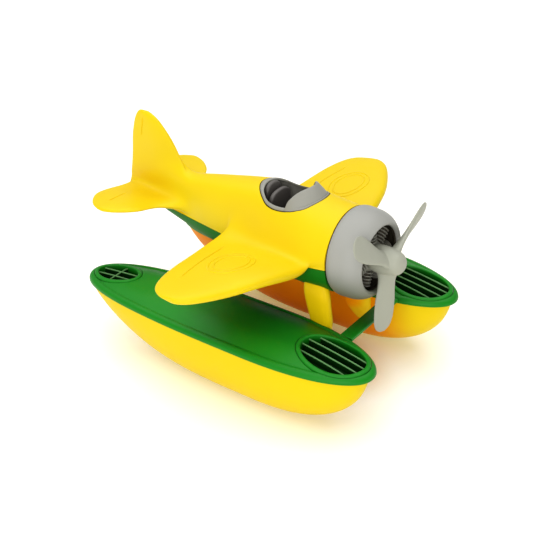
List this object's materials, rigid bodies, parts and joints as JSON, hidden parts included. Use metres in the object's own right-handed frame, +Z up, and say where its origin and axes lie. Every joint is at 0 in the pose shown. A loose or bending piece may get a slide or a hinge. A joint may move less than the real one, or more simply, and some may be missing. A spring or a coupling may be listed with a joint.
{
  "type": "toy seaplane",
  "caption": "Moulded toy seaplane with low wings, an open cockpit, a free-turning propeller and two decked floats with slatted vents.",
  "frame": {"origin": "on the floor, below the middle of the toy's box", "axes": "+X forward along the fuselage, +Y to port, +Z up"},
  "size_m": [0.2412, 0.228, 0.1535],
  "materials": {
    "yellow_plastic": "satin moulded plastic",
    "green_plastic": "satin moulded plastic",
    "light_grey_plastic": "satin moulded plastic",
    "dark_grey_plastic": "satin moulded plastic"
  },
  "bodies": {
    "airframe": {"body_upper": "yellow_plastic", "belly": "green_plastic", "cockpit_tub": "dark_grey_plastic", "seat_rear": "dark_grey_plastic", "seat_front": "dark_grey_plastic", "windscreen": "light_grey_plastic", "float_hull_port": "yellow_plastic", "float_deck_port": "green_plastic", "strut_front_port": "yellow_plastic", "strut_rear_port": "yellow_plastic", "float_hull_starboard": "yellow_plastic", "float_deck_starboard": "green_plastic", "strut_front_starboard": "yellow_plastic", "strut_rear_starboard": "yellow_plastic", "crossbar_front": "green_plastic", "crossbar_rear": "green_plastic", "cowling": "light_grey_plastic", "engine": "dark_grey_plastic"},
    "propeller": {"propeller": "light_grey_plastic"}
  },
  "joints": [
    {"name": "propeller_spin", "type": "hinge", "parent": "airframe", "child": "propeller", "pos_m": [0.097, 0, 0.0968], "axis": [1, 0, 0], "continuous": true}
  ]
}
